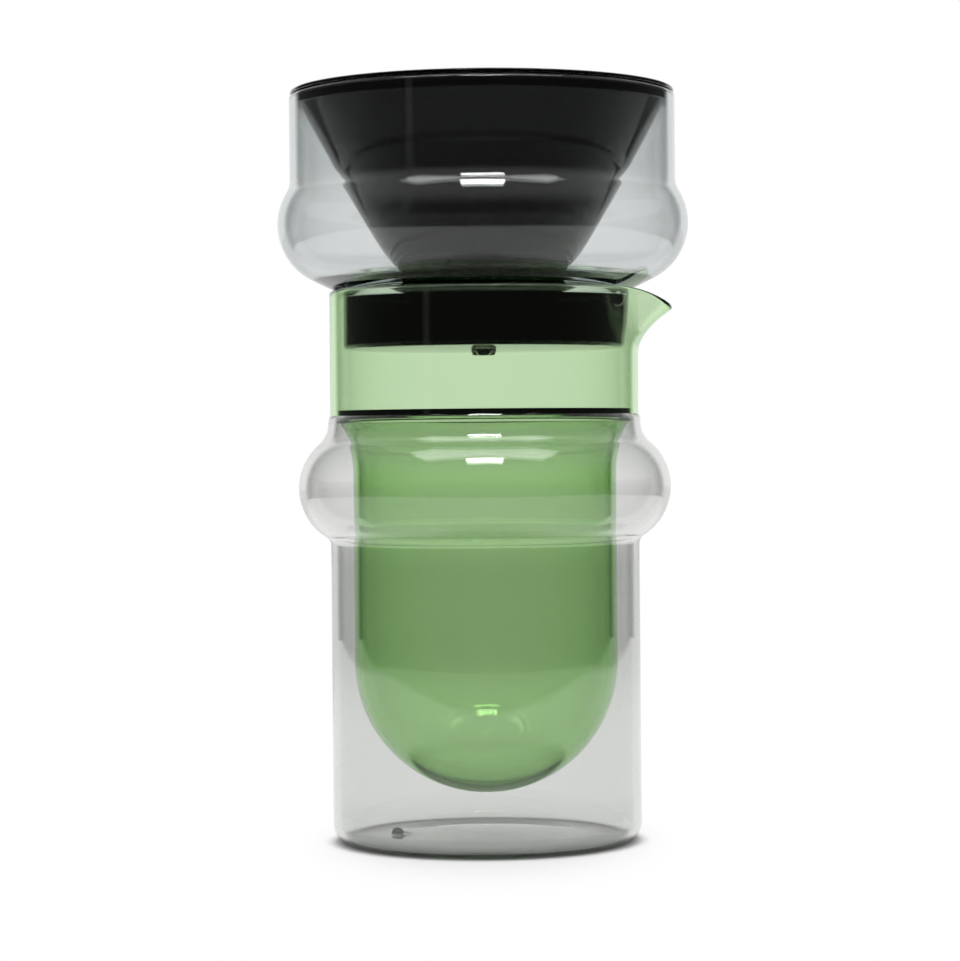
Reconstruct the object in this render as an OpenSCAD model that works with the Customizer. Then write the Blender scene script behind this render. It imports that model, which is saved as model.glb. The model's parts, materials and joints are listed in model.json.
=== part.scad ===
// Double-walled glass pour-over set: a carafe with a tinted liner and a lift-off dripper.
// Millimetres. +Z is up, the origin is on the axis where the carafe stands, the spout points to +X.

/* [Glass] */
// Wall thickness of the blown glass
wall = 2.1; // [1.6:0.1:2.6]
// Gap left at each fused joint between coaxial walls
weld_gap = 0.05; // [0.02:0.01:0.2]

/* [Carafe jacket] */
// Outer diameter of the neck tube and of the jacket's straight wall
tube_d = 93.4; // [88:0.2:98]
// Height of the carafe's rim above the table
carafe_h = 166.5; // [162:0.1:190]
// How far the bulge stands out past the straight wall
bulge_out = 9.6; // [7:0.1:12]
// Height of the bulge's widest ring
bulge_z = 107; // [100:0.5:110]
// Radius of the bulge's section
bulge_r = 17.5; // [16:0.5:20]
// Radius of the hollow corner under the bulge
low_corner = 3; // [1:0.5:6]
// Radius of the hollow corner over the bulge
top_corner = 8; // [6:0.5:12]
// How far the collar over the bulge stands out past the neck
collar_out = 0.6; // [0.4:0.1:1.2]
// Straight stretch of the collar
collar_h = 0.2; // [0.1:0.1:2]
// Height of the rounded shoulder that leads in from the collar to the neck
shoulder_h = 2.1; // [1.4:0.1:3]
// Radius of the rounded edge at the foot of the jacket
base_r = 5.5; // [3.5:0.5:8]
// Diameter of the shallow dish under the base
dish_d = 66; // [60:1:72]
// Depth of the dish under the base
dish_depth = 1.7; // [0.5:0.1:2.4]
// Thickness of the base
base_w = 1.3; // [1:0.1:2]

/* [Vent seal] */
// Distance of the seal from the axis
vent_offset = 27.4; // [20:0.2:30]
// Diameter of the stem that closes the vent hole
vent_stem_d = 1.9; // [1.2:0.1:2.4]
// Diameter of the bead on the stem
vent_bead_d = 3.6; // [3:0.1:5]
// How far the bead sinks into the base, as an angle below its middle
vent_bead_sink = 45; // [15:1:50]
// Length of the thread drawn off the bead
vent_thread = 3; // [1:0.5:5]
// Diameter of the thread at the bead
vent_thread_d = 1.2; // [0.8:0.1:1.4]
// Diameter of the thread at its end
vent_thread_tip_d = 0.3; // [0.2:0.1:0.7]

/* [Carafe liner] */
// Gap between the jacket's straight wall and the liner's
liner_gap = 4.75; // [3.5:0.05:7.5]
// Height of the liner's round bottom above the table
liner_z = 14.7; // [8:0.1:25]
// Radius of the flare that carries the liner up to the seam
flare_r = 30; // [20:0.5:36]
// Depth of the seam ring's underside below the seam
ring_drop = 0.8; // [0.2:0.1:1.4]
// Height of the seam ring
ring_h = 2.4; // [1:0.1:3]
// Width of the seam ring
ring_w = 3; // [2:0.1:4]

/* [Spout] */
// How far the lip is pulled out past the neck
spout_reach = 10; // [5:0.5:12]
// How far the lip drops below the rim
spout_dip = 5.4; // [2:0.2:8]
// Height of the flare under the rim
spout_h = 20; // [16:0.5:26]
// Angle from the middle of the spout to where the round rim starts
spout_angle = 32; // [24:1:44]
// How closely the lip's drop keeps to the middle of the spout
dip_power = 1.5; // [1:0.1:2]

/* [Dripper] */
// Outer diameter of the dripper's straight wall
dripper_d = 116.8; // [112:0.2:121]
// Height of the dripper's rim over the carafe's
dripper_h = 60.5; // [56:0.1:66]
// How far the dripper's bulge stands out past its straight wall
dripper_bulge_out = 3.8; // [2.6:0.1:6.6]
// Radius of the section of the dripper's bulge
dripper_bulge_r = 18.4; // [17:0.1:19.4]
// Radius of the hollow corner over the dripper's bulge
dripper_corner = 8; // [3:0.5:10]
// Slope of the conical seat by which the dripper stands on the carafe's rim
seat_slope = 26; // [20:1:30]
// Gap between the carafe's rim and the seat
seat_gap = 0.3; // [0.2:0.05:0.5]
// Radius of the rounded top edge of the dripper's jacket
edge_r = 1.2; // [0.6:0.1:1.4]

/* [Filter cone] */
// Full angle of the cone
cone_angle = 57.8; // [54:0.2:60]
// How far under the rim the cone's outside meets the jacket
cone_meet = 2.6; // [1.5:0.1:4]
// Height of the lip that fuses the cone to the jacket
lip_h = 4.8; // [3.5:0.1:7]
// Height of the round bead by which the lip covers the jacket's top edge
cap_h = 1.4; // [0.8:0.1:1.8]
// How far the bead stays in from the jacket's outer face
cap_in = 0.3; // [0.2:0.1:0.8]
// Height of the lip's rounded inner edge
lip_round = 3; // [1.5:0.1:3.4]

/* [Foot] */
// How far the foot reaches into the neck, from the carafe's rim
foot_depth = 17.7; // [12:0.1:24]
// Gap between the foot and the inside of the neck
foot_gap = 2.1; // [1.2:0.1:4]
// Radius of the foot's lower edge on its outer face
foot_round = 1.4; // [0.8:0.1:2.4]
// Radius of the foot's lower edge on its inner face
foot_edge = 0.6; // [0.3:0.1:2]
// Diameter of the outlet
outlet_d = 5.9; // [5.8:0.1:6.4]
// Diameter of the drip tip where it meets the foot
tip_d = 7.8; // [7.4:0.1:10]
// Height of the drip tip
tip_h = 1.9; // [1:0.1:2.2]
// Width of the drip tip's lower edge
tip_edge = 0.3; // [0.2:0.1:0.5]

/* [Hidden] */
$fn = 128;
grey_glass = [0.66, 0.69, 0.69, 0.35];
green_glass = [0.42, 0.62, 0.33, 0.5];
smoke_glass = [0.08, 0.09, 0.09, 0.8];

// Room that cutting shapes take past a face, so that no skin is left
past = 1;
// Largest angle between points of an arc, its least number of steps, and the steps of a quarter round
arc_step = 4;
arc_least = 4;
round_steps = 16;

tube_r = tube_d / 2;
neck_in_r = tube_r - wall;

// Lean: the angle where a hollow corner meets the bulge. Rise: its centre's height over the bulge's middle
bulge_axis_r = tube_r + bulge_out - bulge_r;
low_lean = corner_lean(tube_r, bulge_axis_r, bulge_r, low_corner);
low_rise = (bulge_r + low_corner) * sin(low_lean);
collar_r = tube_r + collar_out;
top_lean = corner_lean(collar_r, bulge_axis_r, bulge_r, top_corner);
top_rise = (bulge_r + top_corner) * sin(top_lean);
function corner_lean(straight_r, axis_r, round_r, corner_r) =
    acos((straight_r + corner_r - axis_r) / (round_r + corner_r));

shoulder_z = bulge_z + top_rise + collar_h;
shoulder_r = (pow(shoulder_h, 2) + pow(collar_out, 2)) / (2 * collar_out);
seam_z = shoulder_z + shoulder_h;
dish_r = (pow(dish_d / 2, 2) + pow(dish_depth, 2)) / (2 * dish_depth);
dish_half_angle = asin(dish_d / 2 / dish_r);
base_in_r = base_r - base_w;
// Height of the base's underside at a radius inside the dish
function dish_z(r) = dish_depth - dish_r + sqrt(pow(dish_r, 2) - pow(r, 2));

liner_r = neck_in_r - liner_gap;
liner_centre_z = liner_z + liner_r;
ring_z = seam_z - ring_drop;
ring_r = neck_in_r - weld_gap;
flare_h = sqrt(pow(flare_r, 2) - pow(flare_r - (ring_r - liner_r), 2));
flare_z = ring_z - flare_h;

dripper_r = dripper_d / 2;
dripper_in_r = dripper_r - wall;
foot_r = neck_in_r - foot_gap;
foot_z = carafe_h - foot_depth;
// Height of the conical seat's underside at a radius: it clears the carafe's rounded rim all round
function seat_z(r) =
    carafe_h - wall / 2 + (wall / 2 + seat_gap) / cos(seat_slope)
    + (r - tube_r + wall / 2) * tan(seat_slope);
floor_in_r = foot_r + weld_gap;
floor_z = seat_z(floor_in_r);
dripper_bulge_axis_r = dripper_r + dripper_bulge_out - dripper_bulge_r;
dripper_bulge_z =
    seat_z(dripper_bulge_axis_r + dripper_bulge_r * sin(seat_slope)) + dripper_bulge_r * cos(seat_slope);
dripper_lean = corner_lean(dripper_r, dripper_bulge_axis_r, dripper_bulge_r, dripper_corner);
dripper_rise = (dripper_bulge_r + dripper_corner) * sin(dripper_lean);
rim_z = carafe_h + dripper_h;
cap_r = dripper_r - cap_in;
edge_z = rim_z - cap_h - weld_gap;

cone_z = foot_z + wall;

// Points along an arc round a centre [radius, height]
function arc(centre, r, angle_from, angle_to) =
    let (sweep = angle_to - angle_from, steps = max(arc_least, ceil(abs(sweep) / arc_step)))
    [for (i = [0 : steps]) let (angle = angle_from + sweep * i / steps)
        centre + r * [cos(angle), sin(angle)]];

// Points of a quarter round between a level edge and an upright one
function round_over(level, upright) =
    [for (i = [0 : round_steps]) let (angle = 90 * i / round_steps)
        [level.x + (upright.x - level.x) * sin(angle), upright.y + (level.y - upright.y) * cos(angle)]];

// Outer and inner radius of the filter cone at height z
function cone_r(z) = dripper_in_r - (rim_z - cone_meet - z) * tan(cone_angle / 2);
function cone_in_r(z) = cone_r(z) - wall / cos(cone_angle / 2);

// Section of a wall between its outer face and its inner one
module wall_between(outer, inner)
    polygon(concat(outer, [for (i = [len(inner) - 1 : -1 : 0]) inner[i]]));

// Face of the carafe's jacket from the straight wall to the collar, moved in from the outer face by inset
function jacket_face(inset) = concat(
    arc([tube_r + low_corner, bulge_z - low_rise], low_corner + inset, 180, 180 - low_lean),
    arc([bulge_axis_r, bulge_z], bulge_r - inset, -low_lean, top_lean),
    arc([collar_r + top_corner, bulge_z + top_rise], top_corner + inset, 180 + top_lean, 180));

// Outer wall of the carafe, with its bulge, its dished base and the vent hole
module carafe_jacket() color(grey_glass) difference() {
    dish_centre = [0, dish_depth - dish_r];
    under = concat(
        arc(dish_centre, dish_r, 90, 90 - dish_half_angle),
        arc([tube_r - base_r, base_r], base_r, -90, 0));
    inside = concat(
        arc(dish_centre, dish_r + base_w, 90, 90 - dish_half_angle),
        arc([neck_in_r - base_in_r, base_r], base_in_r, -90, 0));
    shoulder = arc([collar_r - shoulder_r, shoulder_z], shoulder_r, 0, asin(shoulder_h / shoulder_r));
    rotate_extrude() wall_between(
        concat(under, jacket_face(0), shoulder),
        concat(inside, jacket_face(wall), [[collar_r - wall, shoulder_z], [neck_in_r, seam_z]]));
    translate([-vent_offset, 0, -past])
        cylinder(d = vent_stem_d + 2 * weld_gap, h = dish_depth + base_w + 2 * past);
}

// Face of the liner from its lowest point to the seam ring, moved in from the outer face by inset
function liner_face(inset) = concat(
    arc([0, liner_centre_z], liner_r - inset, -90, 0),
    arc([liner_r + flare_r, flare_z], flare_r + inset, 180, 180 - asin(flare_h / (flare_r + inset))));

// Inner vessel with a round bottom, hung from the seam ring by its flare
module carafe_liner() color(green_glass) rotate_extrude() wall_between(liner_face(0), liner_face(wall));

// Ring of fused glass in the corner where the liner meets the neck, round on its inner side
module seam_ring() color(smoke_glass) rotate_extrude()
    polygon(concat(
        [[ring_r, ring_z + ring_h]],
        arc([ring_r - ring_w + ring_h / 2, ring_z + ring_h / 2], ring_h / 2, 90, 270),
        [[ring_r, ring_z]]));

// Bead that closes the vent hole in the base, with the thread it was drawn off by
module vent_seal() color(grey_glass) translate([-vent_offset, 0, 0]) {
    bead_r = vent_bead_d / 2;
    stem_z = dish_z(vent_offset);
    seal_z = dish_z(vent_offset - bead_r) + base_w;
    bead_z = seal_z + bead_r * sin(vent_bead_sink);
    rotate_extrude() polygon(concat(
        [[0, stem_z], [vent_stem_d / 2, stem_z], [vent_stem_d / 2, seal_z]],
        arc([0, bead_z], bead_r, -vent_bead_sink, 90)));
    translate([0, 0, bead_z]) rotate([0, 90, 0])
        cylinder(d1 = vent_thread_d, d2 = vent_thread_tip_d, h = bead_r + vent_thread);
}

// Neck with the pulled spout: one section for each angle round the axis
spout_z = carafe_h - spout_h;
flare_steps = 8;
lip_steps = 6;
spout_steps = 26;
rim_steps = 58;
neck_angles = concat(
    [for (i = [0 : spout_steps - 1]) spout_angle * (2 * i / spout_steps - 1)],
    [for (i = [0 : rim_steps - 1]) spout_angle + (360 - 2 * spout_angle) * i / rim_steps]);

// How much of the spout's pull is felt at an angle from its middle, from 0 to 1
function pull(angle) = angle < spout_angle ? (1 + cos(180 * angle / spout_angle)) / 2 : 0;
// Height where the wall ends and the rounded lip starts
function lip_z(angle) = carafe_h - wall / 2 - spout_dip * pow(pull(angle), dip_power);
// Outer face of the flare, as [radius, height], for u from 0 at its foot to 1 at the lip
function flare_out(angle, u) =
    [tube_r + spout_reach * pull(angle) * u * u, spout_z + u * (lip_z(angle) - spout_z)];
// Direction of the flare's outer face, as a unit vector
function flare_way(angle, u) =
    let (way = [2 * spout_reach * pull(angle) * u, lip_z(angle) - spout_z]) way / norm(way);
// Direction from the outer face to the inner one
function flare_inward(angle, u) = let (way = flare_way(angle, u)) [-way.y, way.x];
function flare_in(angle, u) = flare_out(angle, u) + wall * flare_inward(angle, u);
// Rounded lip, turned from the outer face over to the inner one
function lip_point(angle, turn) =
    (flare_out(angle, 1) + flare_in(angle, 1)) / 2
    + wall / 2 * (sin(turn) * flare_way(angle, 1) - cos(turn) * flare_inward(angle, 1));
function neck_section(angle) = concat(
    [[tube_r, seam_z]],
    [for (i = [0 : flare_steps]) flare_out(angle, i / flare_steps)],
    [for (i = [1 : lip_steps - 1]) lip_point(angle, 180 * i / lip_steps)],
    [for (i = [flare_steps : -1 : 0]) flare_in(angle, i / flare_steps)],
    [[neck_in_r, seam_z]]);

// Closed skin through equal sections set round the axis
module loft_round(angles, sections) {
    turns = len(angles);
    size = len(sections[0]);
    polyhedron(
        points = [for (i = [0 : turns - 1], p = sections[i])
            [p.x * cos(angles[i]), p.x * sin(angles[i]), p.y]],
        faces = [for (i = [0 : turns - 1], j = [0 : size - 1])
            let (a = i * size, b = (i + 1) % turns * size, k = (j + 1) % size)
            each [[a + j, a + k, b + j], [a + k, b + k, b + j]]]);
}

module carafe_neck() color(green_glass)
    loft_round(neck_angles, [for (angle = neck_angles) neck_section(abs(angle))]);

// Face of the dripper's jacket from the foot to the rim, moved in from the outer face by inset
function dripper_face(inset) = concat(
    [[floor_in_r, floor_z + inset / cos(seat_slope)]],
    arc([dripper_bulge_axis_r, dripper_bulge_z], dripper_bulge_r - inset, seat_slope - 90, dripper_lean),
    arc([dripper_r + dripper_corner, dripper_bulge_z + dripper_rise], dripper_corner + inset,
        180 + dripper_lean, 180));

// Outer wall of the dripper, open at the foot, with a rounded top edge
module dripper_jacket() color(grey_glass) {
    edge = arc([dripper_r - edge_r, edge_z - edge_r], edge_r, 0, 90);
    rotate_extrude() wall_between(
        concat(dripper_face(0), edge), concat(dripper_face(wall), [[dripper_in_r, edge_z]]));
}

// Cone that takes the paper filter. Its lip closes the double wall, with a bead over the jacket's edge
module filter_cone() color(smoke_glass) {
    lip_r = dripper_in_r - weld_gap;
    lip_z = rim_z - lip_h;
    round_z = rim_z - lip_round;
    bead_r = cap_h / 2;
    bead = [cap_r - bead_r, rim_z - bead_r];
    rotate_extrude() polygon(concat(
        [[cone_r(cone_z), cone_z], [cone_r(lip_z), lip_z], [lip_r, lip_z], [lip_r, rim_z - cap_h]],
        arc(bead, bead_r, -90, 90),
        round_over([bead.x, rim_z], [cone_in_r(round_z), round_z]),
        [[cone_in_r(cone_z), cone_z]]));
}

// Face of the foot from the outlet to the dripper's floor, moved in from the outer face by inset
function foot_face(inset, corner_r) = concat(
    [[outlet_d / 2, foot_z + inset]],
    arc([foot_r - inset - corner_r, foot_z + inset + corner_r], corner_r, -90, 0),
    [[foot_r - inset, floor_z + wall]]);

// Cup under the dripper that stands in the carafe's neck, with the outlet in its floor
module dripper_foot() color(smoke_glass) rotate_extrude()
    wall_between(foot_face(0, foot_round), foot_face(wall, foot_edge));

// Short rounded spout at the outlet that the coffee drips from: a slice of a ball
module drip_tip() color(smoke_glass) {
    tip_r = tip_d / 2;
    end_r = outlet_d / 2 + tip_edge;
    ball_rise = (pow(tip_r, 2) - pow(end_r, 2) - pow(tip_h, 2)) / (2 * tip_h);
    ball_r = sqrt(pow(tip_r, 2) + pow(ball_rise, 2));
    rotate_extrude() polygon(concat(
        [[outlet_d / 2, foot_z], [outlet_d / 2, foot_z - tip_h]],
        arc([0, foot_z + ball_rise], ball_r, -acos(end_r / ball_r), -asin(ball_rise / ball_r))));
}

carafe_jacket();
carafe_liner();
carafe_neck();
seam_ring();
vent_seal();
dripper_jacket();
filter_cone();
dripper_foot();
drip_tip();
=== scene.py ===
import json
import math

import bmesh
import bpy
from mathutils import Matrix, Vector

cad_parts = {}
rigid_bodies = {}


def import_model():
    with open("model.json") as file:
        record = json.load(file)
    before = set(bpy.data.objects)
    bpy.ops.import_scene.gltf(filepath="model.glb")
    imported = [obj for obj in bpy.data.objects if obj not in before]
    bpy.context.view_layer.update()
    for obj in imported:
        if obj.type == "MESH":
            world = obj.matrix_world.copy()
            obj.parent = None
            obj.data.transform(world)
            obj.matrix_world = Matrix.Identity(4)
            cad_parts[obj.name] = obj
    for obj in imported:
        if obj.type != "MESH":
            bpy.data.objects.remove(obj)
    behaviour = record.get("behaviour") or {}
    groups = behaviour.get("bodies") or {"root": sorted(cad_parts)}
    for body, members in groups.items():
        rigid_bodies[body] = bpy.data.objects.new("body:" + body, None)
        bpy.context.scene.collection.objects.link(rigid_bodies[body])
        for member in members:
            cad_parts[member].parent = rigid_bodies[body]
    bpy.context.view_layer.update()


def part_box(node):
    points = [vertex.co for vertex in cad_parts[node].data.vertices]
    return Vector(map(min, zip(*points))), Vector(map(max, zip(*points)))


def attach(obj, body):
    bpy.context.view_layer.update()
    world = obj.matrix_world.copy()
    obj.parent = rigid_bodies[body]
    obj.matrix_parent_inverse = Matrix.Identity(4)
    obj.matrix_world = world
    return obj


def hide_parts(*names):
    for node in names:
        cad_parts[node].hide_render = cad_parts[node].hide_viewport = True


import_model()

MM = 0.001


def low(node):
    """Height of a node's underside."""
    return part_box(node)[0][2]


def top(node):
    """Height of a node's upper end."""
    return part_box(node)[1][2]


def reach(node):
    """Largest radius of a round node that stays inside its box."""
    (x0, y0, _), (x1, y1, _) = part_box(node)
    return min(-x0, x1, -y0, y1)


# Sizes that the model's parts give
SEAM_Z = top("carafe_jacket")
BULGE_REACH = reach("carafe_jacket")
TUBE_R = -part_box("carafe_neck")[0][0]
CARAFE_H = top("carafe_neck")
LINER_Z = low("carafe_liner")
RING_R = reach("seam_ring")
RING_Z = low("seam_ring")
RING_H = top("seam_ring") - RING_Z
FLOOR_Z = low("dripper_jacket")
EDGE_Z = top("dripper_jacket")
DRIPPER_REACH = reach("dripper_jacket")
RIM_Z = top("filter_cone")
CAP_R = reach("filter_cone")
CONE_Z = low("filter_cone")
FOOT_R = reach("dripper_foot")
FOOT_Z = low("dripper_foot")
TIP_R = reach("drip_tip")
TIP_Z = low("drip_tip")

# Sizes repeated from the part's source
WALL = 2.1 * MM
WELD = 0.05 * MM
BASE_ROUND = 5.5 * MM
DISH_R = 33 * MM
DISH_DEPTH = 1.7 * MM
BASE_W = 1.3 * MM
BULGE_ROUND = 17.5 * MM
BULGE_Z = 107 * MM
LOW_CORNER = 3 * MM
TOP_CORNER = 8 * MM
COLLAR_OUT = 0.6 * MM
SHOULDER_H = 2.1 * MM
LINER_R = 39.85 * MM
FLARE_ROUND = 30 * MM
RING_W = 3 * MM
VENT_X = -27.4 * MM
BEAD_R = 1.8 * MM
THREAD = 3 * MM
THREAD_R = 0.6 * MM
THREAD_TIP_R = 0.15 * MM
SPOUT_REACH = 10 * MM
SPOUT_DIP = 5.4 * MM
SPOUT_H = 20 * MM
SPOUT_ANGLE = math.radians(32)
DIP_POWER = 1.5
CAP_IN = 0.3 * MM
CAP_H = RIM_Z - EDGE_Z - WELD
DRIPPER_R = CAP_R + CAP_IN
LIP_R = DRIPPER_R - WALL - WELD
DRIPPER_ROUND = 18.4 * MM
DRIPPER_CORNER = 8 * MM
SEAT_SLOPE = math.radians(26)
EDGE_ROUND = 1.2 * MM
CONE_SLOPE = math.radians(28.9)
CONE_MEET = 2.6 * MM
LIP_H = 4.8 * MM
LIP_ROUND = 3 * MM
FOOT_ROUND = 1.4 * MM
FOOT_EDGE = 0.6 * MM
OUTLET_R = 2.95 * MM
TIP_EDGE = 0.3 * MM

# Sizes that only the scene has: how deep the bead sinks into the base, the share of its radius at which
# its thread starts, and the rounded, thicker corner between the dripper's floor and its foot
BEAD_SINK = math.radians(10)
THREAD_START = 0.9
SEAT_CORNER = 2 * MM
FUSED_R = 48.8 * MM
FUSED_SLOPE = math.radians(15)
FUSED_ROUND = 1.5 * MM
THICK_R = 45.3 * MM

# Air kept between fused pieces, so that no two glass faces lie on each other
AIR = 0.03 * MM

# Fineness of the meshes
SEGMENTS = 192
ARC_STEP = math.radians(2.5)
ARC_LEAST = 6
ROUND_STEPS = 16
THREAD_SIDES = 24
SPOUT_STEPS = 64
RIM_STEPS = 128
FLARE_STEPS = 20
LIP_STEPS = 12
FLOOR_SEGMENTS = 128
SHARP_ANGLE = math.radians(40)
# A point nearer to the axis than this is a pole
ON_AXIS = 1e-7

NECK_IN_R = TUBE_R - WALL
DISH_ROUND = (DISH_R ** 2 + DISH_DEPTH ** 2) / (2 * DISH_DEPTH)
QUARTER = math.pi / 2


def arc(centre, r, start, end):
    """Points (radius, height) along an arc, with angles in radians."""
    steps = max(ARC_LEAST, math.ceil(abs(end - start) / ARC_STEP))
    angles = [start + (end - start) * i / steps for i in range(steps + 1)]
    return [(centre[0] + r * math.cos(a), centre[1] + r * math.sin(a)) for a in angles]


def corner_lean(straight_r, axis_r, round_r, corner_r):
    """Angle at which a hollow corner between a straight wall and a bulge meets the bulge."""
    return math.acos((straight_r + corner_r - axis_r) / (round_r + corner_r))


def make(name, bm, body, node, material):
    """Turns a bmesh into a smooth piece that stands for a node."""
    bmesh.ops.recalc_face_normals(bm, faces=bm.faces)
    mesh = bpy.data.meshes.new(name)
    bm.to_mesh(mesh)
    bm.free()
    mesh.shade_smooth()
    mesh.set_sharp_from_angle(angle=SHARP_ANGLE)
    piece = bpy.data.objects.new(name, mesh)
    bpy.context.scene.collection.objects.link(piece)
    piece.data.materials.append(material)
    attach(piece, body)
    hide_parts(node)


def skin(bm, rings, closed=True):
    """Faces between rings of vertices. A ring of one vertex is a pole."""
    pairs = list(zip(rings, rings[1:])) + ([(rings[-1], rings[0])] if closed else [])
    for a, b in pairs:
        count = max(len(a), len(b))
        if count == 1:
            continue
        for i in range(count):
            j = (i + 1) % count
            corners = [a[i % len(a)], a[j % len(a)], b[j % len(b)], b[i % len(b)]]
            bm.faces.new(list(dict.fromkeys(corners)))


def lathe(outline, centre_x=0.0):
    """Skin of a closed outline (radius, height) turned round an upright axis."""
    bm = bmesh.new()
    rings = []
    for r, z in outline:
        turns = SEGMENTS if r > ON_AXIS else 1
        angles = [2 * math.pi * i / turns for i in range(turns)]
        rings.append([bm.verts.new((centre_x + r * math.cos(a), r * math.sin(a), z)) for a in angles])
    skin(bm, rings)
    return bm


# Carafe
def jacket_outline():
    """Dished base, straight wall, bulge and collar of the carafe's outer wall."""
    axis_r = BULGE_REACH - BULGE_ROUND
    low_lean = corner_lean(TUBE_R, axis_r, BULGE_ROUND, LOW_CORNER)
    collar_r = TUBE_R + COLLAR_OUT
    top_lean = corner_lean(collar_r, axis_r, BULGE_ROUND, TOP_CORNER)
    low_rise = (BULGE_ROUND + LOW_CORNER) * math.sin(low_lean)
    top_rise = (BULGE_ROUND + TOP_CORNER) * math.sin(top_lean)

    def face(inset):
        return (
            arc((TUBE_R + LOW_CORNER, BULGE_Z - low_rise), LOW_CORNER + inset, math.pi, math.pi - low_lean)
            + arc((axis_r, BULGE_Z), BULGE_ROUND - inset, -low_lean, top_lean)[1:]
            + arc((collar_r + TOP_CORNER, BULGE_Z + top_rise), TOP_CORNER + inset,
                  math.pi + top_lean, math.pi)[1:]
        )

    dish_half = math.asin(DISH_R / DISH_ROUND)

    def base(inset):
        dome = arc((0, DISH_DEPTH - DISH_ROUND), DISH_ROUND + inset, QUARTER, QUARTER - dish_half)
        dome[0] = (0, DISH_DEPTH + inset)
        round_r = BASE_ROUND - inset
        wall_r = NECK_IN_R if inset else TUBE_R
        return dome + arc((wall_r - round_r, BASE_ROUND), round_r, -QUARTER, 0)

    shoulder_r = (SHOULDER_H ** 2 + COLLAR_OUT ** 2) / (2 * COLLAR_OUT)
    shoulder_z = SEAM_Z - AIR - SHOULDER_H
    shoulder = arc((collar_r - shoulder_r, shoulder_z), shoulder_r, 0, math.asin(SHOULDER_H / shoulder_r))
    seam = [(NECK_IN_R, SEAM_Z - AIR), (collar_r - WALL, shoulder_z)]
    return base(0) + face(0) + shoulder + seam + (base(BASE_W) + face(WALL))[::-1]


def liner_outline():
    """Round bottom, straight wall and flare of the inner vessel."""
    flare_h = math.sqrt(FLARE_ROUND ** 2 - (FLARE_ROUND - (RING_R - LINER_R)) ** 2)

    def face(inset):
        round_r = FLARE_ROUND + inset
        bottom = arc((0, LINER_Z + LINER_R), LINER_R - inset, -QUARTER, 0)
        bottom[0] = (0, LINER_Z + inset)
        flare = arc((LINER_R + FLARE_ROUND, RING_Z - AIR - flare_h), round_r,
                    math.pi, math.pi - math.asin(flare_h / round_r))
        return bottom + flare

    return face(0) + face(WALL)[::-1]


def ring_outline():
    """Fused ring under the neck, rounded towards the axis."""
    half = RING_H / 2
    return [(RING_R, RING_Z + RING_H)] + arc((RING_R - RING_W + half, RING_Z + half), half,
                                             QUARTER, 3 * QUARTER) + [(RING_R, RING_Z)]


def bead():
    """Bead on the base with the thread that it was drawn off by."""
    base_z = DISH_DEPTH - DISH_ROUND + math.sqrt(DISH_ROUND ** 2 - (VENT_X + BEAD_R) ** 2) + BASE_W
    centre_z = base_z + BEAD_R * math.sin(BEAD_SINK)
    cap = arc((0, centre_z), BEAD_R, -BEAD_SINK, QUARTER)
    cap[-1] = (0, centre_z + BEAD_R)
    bm = lathe([(0, base_z)] + cap, centre_x=VENT_X)
    start, end = VENT_X + THREAD_START * BEAD_R, VENT_X + BEAD_R + THREAD
    angles = [2 * math.pi * i / THREAD_SIDES for i in range(THREAD_SIDES)]
    rings = [[bm.verts.new((start, 0, centre_z))]]
    for x, r in ((start, THREAD_R), (end, THREAD_TIP_R)):
        rings.append([bm.verts.new((x, r * math.cos(a), centre_z + r * math.sin(a))) for a in angles])
    rings.append([bm.verts.new((end, 0, centre_z))])
    skin(bm, rings, closed=False)
    return bm


def neck():
    """Neck tube with the pulled spout, one section for each angle round the axis."""
    spout_z = CARAFE_H - SPOUT_H
    angles = [SPOUT_ANGLE * (2 * i / SPOUT_STEPS - 1) for i in range(SPOUT_STEPS)]
    rest = 2 * math.pi - 2 * SPOUT_ANGLE
    angles += [SPOUT_ANGLE + rest * i / RIM_STEPS for i in range(RIM_STEPS)]

    def section(angle):
        turn = abs(angle)
        pull = (1 + math.cos(math.pi * turn / SPOUT_ANGLE)) / 2 if turn < SPOUT_ANGLE else 0
        lip_z = CARAFE_H - WALL / 2 - SPOUT_DIP * pull ** DIP_POWER

        def flare(u):
            """Outer point, its way up and the way to the inner face."""
            point = (TUBE_R + SPOUT_REACH * pull * u * u, spout_z + u * (lip_z - spout_z))
            way = (2 * SPOUT_REACH * pull * u, lip_z - spout_z)
            size = math.hypot(*way)
            way = (way[0] / size, way[1] / size)
            return point, way, (-way[1], way[0])

        outer, inner = [], []
        for i in range(FLARE_STEPS + 1):
            point, _, inward = flare(i / FLARE_STEPS)
            outer.append(point)
            inner.append((point[0] + WALL * inward[0], point[1] + WALL * inward[1]))
        _, way, inward = flare(1)
        middle = ((outer[-1][0] + inner[-1][0]) / 2, (outer[-1][1] + inner[-1][1]) / 2)
        lip = []
        for i in range(1, LIP_STEPS):
            a = math.pi * i / LIP_STEPS
            lip.append(tuple(middle[k] + WALL / 2 * (math.sin(a) * way[k] - math.cos(a) * inward[k])
                             for k in (0, 1)))
        return [(TUBE_R, SEAM_Z)] + outer + lip + inner[::-1] + [(NECK_IN_R, SEAM_Z)]

    bm = bmesh.new()
    sections = []
    for a in angles:
        sections.append([bm.verts.new((r * math.cos(a), r * math.sin(a), z)) for r, z in section(a)])
    skin(bm, sections)
    return bm


# Dripper
# Height where the grey wall has turned down from the seat and the dark foot starts
FOOT_TOP = (FLOOR_Z + (SEAT_CORNER * (1 - math.sin(SEAT_SLOPE)) - WELD) * math.tan(SEAT_SLOPE)
            - SEAT_CORNER * math.cos(SEAT_SLOPE))


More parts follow.
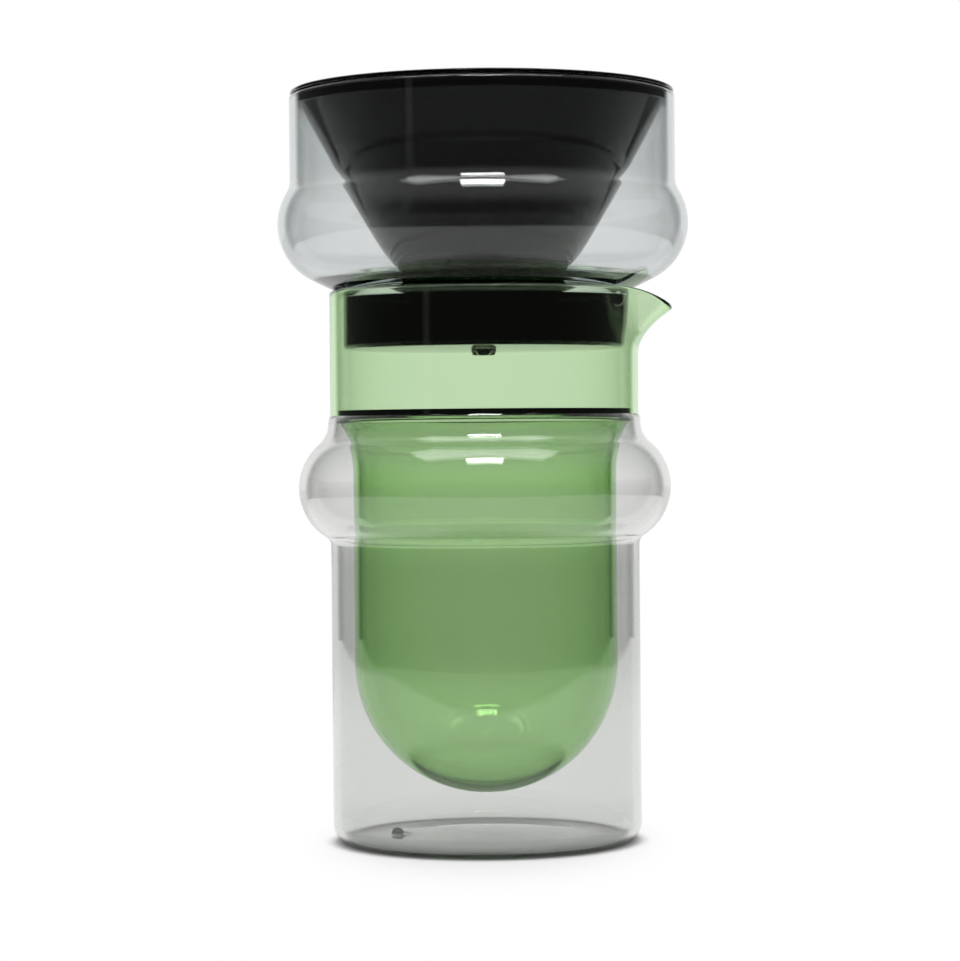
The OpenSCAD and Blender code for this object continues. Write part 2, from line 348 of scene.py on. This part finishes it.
def dripper_outline():
    """Conical seat, bulge and straight wall of the dripper's outer wall, with its thicker floor."""
    axis_r = DRIPPER_REACH - DRIPPER_ROUND
    seat_r = axis_r + DRIPPER_ROUND * math.sin(SEAT_SLOPE)
    seat_rise = (seat_r - FOOT_R - WELD) * math.tan(SEAT_SLOPE)
    bulge_z = FLOOR_Z + seat_rise + DRIPPER_ROUND * math.cos(SEAT_SLOPE)
    lean = corner_lean(DRIPPER_R, axis_r, DRIPPER_ROUND, DRIPPER_CORNER)
    rise = (DRIPPER_ROUND + DRIPPER_CORNER) * math.sin(lean)

    def side(inset):
        return (
            arc((axis_r, bulge_z), DRIPPER_ROUND - inset, SEAT_SLOPE - QUARTER, lean)
            + arc((DRIPPER_R + DRIPPER_CORNER, bulge_z + rise), DRIPPER_CORNER + inset,
                  math.pi + lean, math.pi)[1:]
        )

    seat = arc((FOOT_R + SEAT_CORNER, FOOT_TOP), SEAT_CORNER, math.pi, QUARTER + SEAT_SLOPE)
    edge = arc((DRIPPER_R - EDGE_ROUND, EDGE_Z - EDGE_ROUND), EDGE_ROUND, 0, QUARTER)
    inside = side(WALL)
    fused_z = inside[0][1] - (inside[0][0] - FUSED_R) * math.tan(SEAT_SLOPE)
    thick_z = fused_z - (FUSED_R - THICK_R) * math.tan(FUSED_SLOPE)
    bend_r = FOOT_R - WALL + FUSED_ROUND * (1 - math.sin(SEAT_SLOPE))
    bend_z = thick_z - (THICK_R - bend_r) * math.tan(SEAT_SLOPE)
    floor_in = arc((FOOT_R - WALL + FUSED_ROUND, bend_z - FUSED_ROUND * math.cos(SEAT_SLOPE)), FUSED_ROUND,
                   math.pi, QUARTER + SEAT_SLOPE) + [(THICK_R, thick_z), (FUSED_R, fused_z)]
    stub = [(FOOT_R - WALL, FOOT_TOP)]
    return seat + side(0) + edge + [(DRIPPER_R - WALL, EDGE_Z)] + (stub + floor_in + inside)[::-1]


def cone_outline():
    """Cone with the rounded lip that closes the dripper's double wall."""

    def outer(z):
        return DRIPPER_R - WALL - (RIM_Z - CONE_MEET - z) * math.tan(CONE_SLOPE)

    def inner(z):
        return outer(z) - WALL / math.cos(CONE_SLOPE)

    lip_z, round_z, foot_z = RIM_Z - LIP_H, RIM_Z - LIP_ROUND, CONE_Z + AIR
    outside = [(outer(foot_z), foot_z), (outer(lip_z), lip_z), (LIP_R, lip_z), (LIP_R, RIM_Z - CAP_H)]
    bead_r = CAP_H / 2
    rim = arc((CAP_R - bead_r, RIM_Z - bead_r), bead_r, -QUARTER, QUARTER)
    level, upright = CAP_R - bead_r, inner(round_z)
    for i in range(1, ROUND_STEPS + 1):
        a = QUARTER * i / ROUND_STEPS
        rim.append((level + (upright - level) * math.sin(a), round_z + LIP_ROUND * math.cos(a)))
    return outside + rim + [(inner(foot_z), foot_z)]


def foot_outline():
    """Cup that stands in the neck, with the outlet in its floor."""

    def face(inset, corner_r):
        centre = (FOOT_R - inset - corner_r, FOOT_Z + inset + corner_r)
        return ([(OUTLET_R, FOOT_Z + inset)] + arc(centre, corner_r, -QUARTER, 0)
                + [(FOOT_R - inset, FOOT_TOP - AIR)])

    return face(0, FOOT_ROUND) + face(WALL, FOOT_EDGE)[::-1]


def tip_outline():
    """Ball-shaped spout round the outlet."""
    top_z, end_r = FOOT_Z - AIR, OUTLET_R + TIP_EDGE
    tip_h = top_z - TIP_Z
    rise = (TIP_R ** 2 - end_r ** 2 - tip_h ** 2) / (2 * tip_h)
    ball_r = math.hypot(TIP_R, rise)
    ball = arc((0, top_z + rise), ball_r, -math.acos(end_r / ball_r), -math.asin(rise / ball_r))
    return [(OUTLET_R, top_z), (OUTLET_R, TIP_Z)] + ball


# Node helpers
def smooth(nodes, links, source, start, end, least, most):
    """Smooth change of a value from least to most while the source goes from start to end."""
    node = nodes.new("ShaderNodeMapRange")
    node.interpolation_type = "SMOOTHSTEP"
    for key, value in (("From Min", start), ("From Max", end), ("To Min", least), ("To Max", most)):
        node.inputs[key].default_value = value
    links.new(source, node.inputs["Value"])
    return node.outputs["Result"]


def calculate(nodes, links, operation, *values):
    """Result of a math node on sockets and plain numbers."""
    node = nodes.new("ShaderNodeMath")
    node.operation = operation
    for socket, value in zip(node.inputs, values):
        if isinstance(value, float):
            socket.default_value = value
        else:
            links.new(value, socket)
    return node.outputs["Value"]


def choose(nodes, links, factor, a, b):
    """Value a where the factor is 0 and b where it is 1."""
    node = nodes.new("ShaderNodeMix")
    links.new(factor, node.inputs["Factor"])
    for key, value in (("A", a), ("B", b)):
        if isinstance(value, float):
            node.inputs[key].default_value = value
        else:
            links.new(value, node.inputs[key])
    return node.outputs["Result"]


def length(nodes, links, vector):
    node = nodes.new("ShaderNodeVectorMath")
    node.operation = "LENGTH"
    links.new(vector, node.inputs[0])
    return node.outputs["Value"]


def happened(nodes, links, depth):
    """1 where the light's path has had a bounce of this kind, and 0 elsewhere."""
    return calculate(nodes, links, "GREATER_THAN", depth, 0.5)


# Glass
GLASS_IOR = 1.47
# Shallow waves of blown glass, drawn out along the height
WAVE_SCALE = 45
WAVE_DRAWN = 0.45
WAVE_DEPTH = 0.00006
# Stretches of height where the faces take no tint
UNTINTED_FADE = 7 * MM
DRIPPER_UNTINTED = (FLOOR_Z - UNTINTED_FADE, 202 * MM)
CARAFE_UNTINTED = (88 * MM, 116 * MM)
# Keeps the absorption's colour above zero in the channel that loses most
DENSITY_MARGIN = 1.05


def glass(name, per_wall, face_tint=None, untinted_z=None, shine=1.0):
    """Blown glass. per_wall is the share of red, green and blue light that one wall lets through.

    The faces take face_tint off once more for each wall, but not over the stretch of height given after it.
    Shine is the strength of the reflection against that of clear glass.
    """
    material = bpy.data.materials.new(name)
    material.use_nodes = True
    nodes, links = material.node_tree.nodes, material.node_tree.links
    shader = nodes["Principled BSDF"]
    shader.inputs["Base Color"].default_value = (*(face_tint or (1, 1, 1)), 1)
    shader.inputs["Roughness"].default_value = 0.0
    shader.inputs["IOR"].default_value = GLASS_IOR
    shader.inputs["Specular Tint"].default_value = (shine, shine, shine, 1)
    shader.inputs["Transmission Weight"].default_value = 1.0

    loss = [-math.log(share) / WALL for share in per_wall]
    density = DENSITY_MARGIN * max(loss)
    absorb = nodes.new("ShaderNodeVolumeAbsorption")
    absorb.inputs["Color"].default_value = [1 - x / density for x in loss] + [1]
    absorb.inputs["Density"].default_value = density
    links.new(absorb.outputs["Volume"], nodes["Material Output"].inputs["Volume"])

    place = nodes.new("ShaderNodeTexCoord")
    drawn = nodes.new("ShaderNodeMapping")
    drawn.inputs["Scale"].default_value = (1, 1, WAVE_DRAWN)
    wave = nodes.new("ShaderNodeTexNoise")
    wave.inputs["Scale"].default_value = WAVE_SCALE
    wave.inputs["Detail"].default_value = 1
    bump = nodes.new("ShaderNodeBump")
    bump.inputs["Strength"].default_value = 1
    bump.inputs["Distance"].default_value = WAVE_DEPTH
    if untinted_z:
        split = nodes.new("ShaderNodeSeparateXYZ")
        links.new(place.outputs["Object"], split.inputs["Vector"])
        height, (start, end) = split.outputs["Z"], untinted_z
        below = smooth(nodes, links, height, start - UNTINTED_FADE, start + UNTINTED_FADE, 1.0, 0.0)
        above = smooth(nodes, links, height, end - UNTINTED_FADE, end + UNTINTED_FADE, 0.0, 1.0)
        tint = nodes.new("ShaderNodeMix")
        tint.data_type = "RGBA"
        tint.inputs["A"].default_value = (1, 1, 1, 1)
        tint.inputs["B"].default_value = (*face_tint, 1)
        links.new(calculate(nodes, links, "ADD", below, above), tint.inputs["Factor"])
        links.new(tint.outputs["Result"], shader.inputs["Base Color"])

    links.new(place.outputs["Object"], drawn.inputs["Vector"])
    links.new(drawn.outputs["Vector"], wave.inputs["Vector"])
    links.new(wave.outputs["Fac"], bump.inputs["Height"])
    links.new(bump.outputs["Normal"], shader.inputs["Normal"])
    return material


GREY = glass("grey_glass", (0.85, 0.868, 0.868), (0.933, 0.938, 0.938), DRIPPER_UNTINTED)
GREY_WARM = glass("grey_glass_carafe", (0.905, 0.91, 0.90), (0.885, 0.89, 0.883), CARAFE_UNTINTED)
# Painted shade: the bead's glass is made much darker than the jacket's, standing in for the dark look that
# refraction gives it
GREY_BEAD_PAINTED_DARK = glass("grey_glass_bead_painted_shade", (0.38, 0.40, 0.38))
GREEN_NECK = glass("green_glass_neck", (0.84, 0.935, 0.79), (0.93, 0.968, 0.908))
GREEN_LINER = glass("green_glass_liner", (0.665, 0.855, 0.565), (0.985, 0.995, 0.97))
SMOKE = glass("smoke_glass", (0.006, 0.007, 0.006), shine=0.2)
SMOKE_TIP = glass("smoke_glass_tip", (0.22, 0.25, 0.20), shine=0.5)

make("jacket", lathe(jacket_outline()), "carafe", "carafe_jacket", GREY_WARM)
make("liner", lathe(liner_outline()), "carafe", "carafe_liner", GREEN_LINER)
make("neck", neck(), "carafe", "carafe_neck", GREEN_NECK)
make("seam", lathe(ring_outline()), "carafe", "seam_ring", SMOKE)
make("vent_bead", bead(), "carafe", "vent_seal", GREY_BEAD_PAINTED_DARK)
make("dripper", lathe(dripper_outline()), "dripper", "dripper_jacket", GREY)
make("cone", lathe(cone_outline()), "dripper", "filter_cone", SMOKE)
make("foot", lathe(foot_outline()), "dripper", "dripper_foot", SMOKE)
make("tip", lathe(tip_outline()), "dripper", "drip_tip", SMOKE_TIP)

# Studio
# Brightness of the dark room that the glass reflects, of its ceiling and of its low sides. The last two
# change over a range of the direction's upward part.
ROOM = 0.05
CEILING = 0.45
CEILING_RISE = (0.2, 0.7)
LOW_SIDES = 0.15
LOW_SIDES_RISE = (-0.06, 0.0)
# Bright backdrop, a little darker below the horizon. Its edge is a range of the direction's backward part.
BACKDROP = 0.97
BACKDROP_LOW = 0.83
BACKDROP_RISE = (-0.04, 0.0)
BACKDROP_EDGE = (0.77, 0.87)
# Light of the room that reaches the floor straight, and through the glass
FILL = 1.12
SHADE = 0.75
# Table, just under the base. From FADE_R to its edge it gets darker.
TABLE_R = 0.87
TABLE_WHITE = 0.95
FLOOR_DROP = 0.05 * MM
FADE_R = 0.30
# How far to the front and to the sides reflections show it lit, and half the width of that edge
TABLE_FRONT = 0.42
TABLE_SIDE = 0.62
TABLE_BLUR = 0.02
# Painted shadow: a dark ring painted into the table's colour where the base stands. Radii where it sets in,
# is full, starts to fade and has faded
RING_START_R = 0.026
RING_FULL_R = 0.038
RING_END_R = 0.040
CONTACT_R = 0.050
# Table colour where the painted shadow is darkest
PAINTED_SHADOW = 0.35
# Glowing share of the table: inside the ring a painted glow that stands in for light through the glass,
# then just outside it, rising to all of it at LIT_R along y and nearer along x
PAINTED_GLOW_UNDER = 0.12
LIT_NEAR = 0.4
LIT_BLUR = 0.005
LIT_R = 0.125
SHADE_NARROW = 2.1
# Name, place, point that it faces, size and power of each lamp
LAMPS = (
    ("key", (0.0, -0.69, 1.13), (0, 0, 0.15), (0.39, 0.20), 6.5),
    ("panel", (0.0, -0.355, 1.35), (0, -0.355, 0), (1.44, 0.53), 9.0),
    ("strip", (-0.79, -0.86, 0.45), (0, 0, 0.15), (0.09, 0.7), 0.025),
)

scene = bpy.context.scene
for old in [o for o in scene.objects if o.type in ("LIGHT", "CAMERA") or o.name == "Cube"]:
    bpy.data.objects.remove(old)


def floor():
    """Round white table. Only the part near the object takes shadow, with a painted shadow ring where the
    base stands and a painted glow inside it.
    """
    bm = bmesh.new()
    bmesh.ops.create_circle(bm, cap_ends=True, segments=FLOOR_SEGMENTS, radius=TABLE_R)
    mesh = bpy.data.meshes.new("floor")
    bm.to_mesh(mesh)
    bm.free()
    piece = bpy.data.objects.new("floor", mesh)
    piece.location.z = -FLOOR_DROP
    scene.collection.objects.link(piece)
    material = bpy.data.materials.new("floor_white")
    material.use_nodes = True
    nodes, links = material.node_tree.nodes, material.node_tree.links
    nodes.remove(nodes["Principled BSDF"])
    matte = nodes.new("ShaderNodeBsdfDiffuse")
    white = nodes.new("ShaderNodeEmission")
    place = nodes.new("ShaderNodeTexCoord").outputs["Object"]
    distance = length(nodes, links, place)
    # Table colour with the painted shadow ring where the base stands
    painted_shadow_colour = calculate(nodes, links, "MAXIMUM",
                        smooth(nodes, links, distance, RING_START_R, RING_FULL_R, TABLE_WHITE, PAINTED_SHADOW),
                        smooth(nodes, links, distance, RING_END_R, CONTACT_R, PAINTED_SHADOW, TABLE_WHITE))
    links.new(painted_shadow_colour, matte.inputs["Color"])
    wide = nodes.new("ShaderNodeVectorMath")
    wide.operation = "MULTIPLY"
    wide.inputs[1].default_value = (SHADE_NARROW, 1, 1)
    links.new(place, wide.inputs[0])
    spread = length(nodes, links, wide.outputs["Vector"])
    lit = calculate(nodes, links, "MULTIPLY",
                    smooth(nodes, links, distance, CONTACT_R - LIT_BLUR, CONTACT_R, 0.0, 1.0),
                    smooth(nodes, links, spread, CONTACT_R, LIT_R, LIT_NEAR, 1.0))
    # Painted light: glow inside the ring for the light that reaches the table through the glass
    painted_glow = smooth(nodes, links, distance, RING_START_R, RING_FULL_R, PAINTED_GLOW_UNDER, 0.0)
    mix = nodes.new("ShaderNodeMixShader")
    links.new(calculate(nodes, links, "ADD", lit, painted_glow), mix.inputs["Fac"])
    links.new(matte.outputs["BSDF"], mix.inputs[1])
    links.new(white.outputs["Emission"], mix.inputs[2])

    path = nodes.new("ShaderNodeLightPath")
    split = nodes.new("ShaderNodeSeparateXYZ")
    links.new(place, split.inputs["Vector"])
    far = smooth(nodes, links, distance, FADE_R, TABLE_R, 1.0, BACKDROP_LOW)
    ahead = calculate(nodes, links, "MINIMUM", split.outputs["Y"], 0.0)
    aside = calculate(nodes, links, "MULTIPLY", split.outputs["X"], TABLE_FRONT / TABLE_SIDE)
    off = calculate(nodes, links, "SQRT", calculate(nodes, links, "ADD",
                    calculate(nodes, links, "MULTIPLY", ahead, ahead),
                    calculate(nodes, links, "MULTIPLY", aside, aside)))
    front = smooth(nodes, links, off, TABLE_FRONT - TABLE_BLUR, TABLE_FRONT + TABLE_BLUR, 1.0, LOW_SIDES)
    mirrored = happened(nodes, links, path.outputs["Glossy Depth"])
    seen = choose(nodes, links, mirrored, far, calculate(nodes, links, "MULTIPLY", far, front))
    links.new(choose(nodes, links, path.outputs["Is Camera Ray"], seen, 1.0), white.inputs["Strength"])
    links.new(mix.outputs["Shader"], nodes["Material Output"].inputs["Surface"])
    mesh.materials.append(material)


def studio_world():
    """White for the camera. Glass lets the backdrop through, and reflects it in a dark room."""
    world = bpy.data.worlds.new("studio")
    scene.world = world
    world.use_nodes = True
    nodes, links = world.node_tree.nodes, world.node_tree.links
    background = nodes["Background"]
    background.inputs["Color"].default_value = (1, 1, 1, 1)
    path = nodes.new("ShaderNodeLightPath")
    place = nodes.new("ShaderNodeTexCoord")
    split = nodes.new("ShaderNodeSeparateXYZ")
    links.new(place.outputs["Generated"], split.inputs["Vector"])
    height = split.outputs["Z"]
    backdrop = smooth(nodes, links, height, *BACKDROP_RISE, BACKDROP_LOW, BACKDROP)
    window = smooth(nodes, links, split.outputs["Y"], *BACKDROP_EDGE, 0.0, 1.0)
    low_sides = smooth(nodes, links, height, *LOW_SIDES_RISE, LOW_SIDES, ROOM)
    ceiling = smooth(nodes, links, height, *CEILING_RISE, 0.0, CEILING)
    room = choose(nodes, links, window, calculate(nodes, links, "ADD", low_sides, ceiling), backdrop)
    fill = choose(nodes, links, happened(nodes, links, path.outputs["Diffuse Depth"]),
                  backdrop, choose(nodes, links, path.outputs["Is Diffuse Ray"], SHADE, FILL))
    seen = choose(nodes, links, happened(nodes, links, path.outputs["Glossy Depth"]), fill, room)
    links.new(choose(nodes, links, path.outputs["Is Camera Ray"], seen, 1.0), background.inputs["Strength"])


def soft_box(name, place, target, size, power):
    """Rectangular lamp that faces a point and shows in the glass. The world lights the floor."""
    lamp = bpy.data.lights.new(name, "AREA")
    lamp.shape = "RECTANGLE"
    lamp.size, lamp.size_y = size
    lamp.energy = power
    piece = bpy.data.objects.new(name, lamp)
    piece.visible_diffuse = False
    piece.location = place
    way = Vector(target) - Vector(place)
    piece.rotation_euler = way.to_track_quat("-Z", "Y").to_euler()
    scene.collection.objects.link(piece)


floor()
studio_world()
for lamp in LAMPS:
    soft_box(*lamp)

# Camera at the photograph's place, with its horizon over the middle of the image
FOCAL_PX = 3000
IMAGE_W = 960
SENSOR_W = 36
HORIZON_PX = 40.5
EYE = (-1.37 * MM, -0.910, 0.1212)
ROLL = 0.0085
camera = bpy.data.cameras.new("camera")
camera.sensor_fit = "HORIZONTAL"
camera.sensor_width = SENSOR_W
camera.lens = FOCAL_PX / IMAGE_W * SENSOR_W
camera.shift_y = -HORIZON_PX / IMAGE_W
eye = bpy.data.objects.new("camera", camera)
eye.location = EYE
eye.rotation_euler = (QUARTER, ROLL, 0)
scene.collection.objects.link(eye)
scene.camera = eye

scene.view_settings.view_transform = "Standard"
scene.cycles.max_bounces = 64
scene.cycles.transmission_bounces = 64
scene.cycles.glossy_bounces = 48
